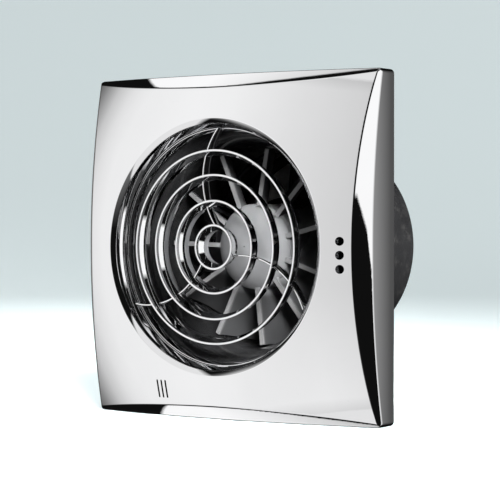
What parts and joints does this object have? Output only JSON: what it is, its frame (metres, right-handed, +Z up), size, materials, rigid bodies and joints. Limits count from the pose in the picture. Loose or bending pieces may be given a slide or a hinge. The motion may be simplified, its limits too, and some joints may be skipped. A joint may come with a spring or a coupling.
{
  "type": "extractor fan",
  "caption": "Square wall-mounted axial extractor fan with a domed chrome cover, ring grille, duct spigot and back-draught damper.",
  "frame": {"origin": "duct axis on the wall plane, which is the housing's back face", "axes": "+Y into the wall along the duct spigot, so the face looks along -Y; +Z up; +X to the right as seen from the room"},
  "size_m": [0.158, 0.097, 0.158],
  "materials": {
    "chrome_plate": "mirror",
    "housing_plastic": "gloss",
    "impeller_plastic": "satin",
    "duct_plastic": "satin",
    "flap_plastic": "satin",
    "white_plastic": "gloss",
    "seal_rubber": "matt",
    "zinc_steel": "satin",
    "spring_steel": "satin",
    "bright_steel": "bright",
    "core_steel": "satin",
    "motor_aluminium": "satin",
    "winding_copper": "enamelled",
    "bush_brass": "satin",
    "board_laminate": "satin",
    "relay_blue": "gloss",
    "capacitor_yellow": "gloss",
    "chip_black": "matt",
    "trimmer_blue": "gloss",
    "trimmer_white": "satin",
    "trimmer_yellow": "satin",
    "sensor_grey": "satin",
    "lead_sleeve": "satin"
  },
  "bodies": {
    "housing": {"back_housing": "housing_plastic", "duct_spigot": "housing_plastic", "wall_seal": "seal_rubber", "cable_grommet": "seal_rubber", "cable_clamp": "white_plastic", "clamp_screws": "zinc_steel", "terminal_block": "white_plastic", "terminal_screws": "bush_brass", "supply_leads": "lead_sleeve", "control_board": "board_laminate", "board_screws": "zinc_steel", "board_relay": "relay_blue", "board_capacitor": "capacitor_yellow", "board_chip": "chip_black", "board_headers": "white_plastic", "trimmer_bodies": "trimmer_blue", "humidity_sensor": "sensor_grey", "sensor_leads": "lead_sleeve", "motor_leads": "lead_sleeve", "motor_carrier": "duct_plastic", "motor_rubbers": "seal_rubber", "motor_can": "motor_aluminium", "motor_end_cap": "motor_aluminium", "stator_core": "core_steel", "stator_windings": "winding_copper", "front_bearing": "bright_steel", "rear_bearing": "bright_steel", "damper_frame": "duct_plastic", "damper_pin": "bright_steel", "damper_spring": "spring_steel"},
    "cover": {"front_cover": "chrome_plate", "grille": "chrome_plate", "grille_screws": "zinc_steel", "cover_pins": "white_plastic"},
    "fan_wheel": {"impeller": "impeller_plastic", "impeller_bush": "bush_brass", "motor_shaft": "bright_steel", "rotor_core": "core_steel"},
    "left_flap": {"flap_left": "flap_plastic", "spring_leg_left": "spring_steel"},
    "right_flap": {"flap_right": "flap_plastic", "spring_leg_right": "spring_steel"},
    "timer_dial": {"timer_trimmer": "trimmer_white"},
    "humidity_dial": {"humidity_trimmer": "trimmer_yellow"}
  },
  "joints": [
    {"name": "fan_spin", "type": "hinge", "parent": "housing", "child": "fan_wheel", "pos_m": [0, 0.02, 0], "axis": [0, 1, 0], "continuous": true},
    {"name": "cover_pull", "type": "slide", "parent": "housing", "child": "cover", "axis": [0, -1, 0], "range_m": [0, 0.045]},
    {"name": "left_flap_hinge", "type": "hinge", "parent": "housing", "child": "left_flap", "pos_m": [0, 0.0635, 0], "axis": [0, 0, -1], "range_deg": [0, 80], "stiffness_Nm_per_rad": 0.001, "springref_deg": -11.46},
    {"name": "right_flap_hinge", "type": "hinge", "parent": "housing", "child": "right_flap", "pos_m": [0, 0.0635, 0], "axis": [0, 0, 1], "range_deg": [0, 80], "stiffness_Nm_per_rad": 0.001, "springref_deg": -11.46},
    {"name": "timer_turn", "type": "hinge", "parent": "housing", "child": "timer_dial", "pos_m": [0.0475, -0.0125, -0.0676], "axis": [0, -1, 0], "range_deg": [-135, 135]},
    {"name": "humidity_turn", "type": "hinge", "parent": "housing", "child": "humidity_dial", "pos_m": [0.0565, -0.0125, -0.0676], "axis": [0, -1, 0], "range_deg": [-135, 135]}
  ]
}
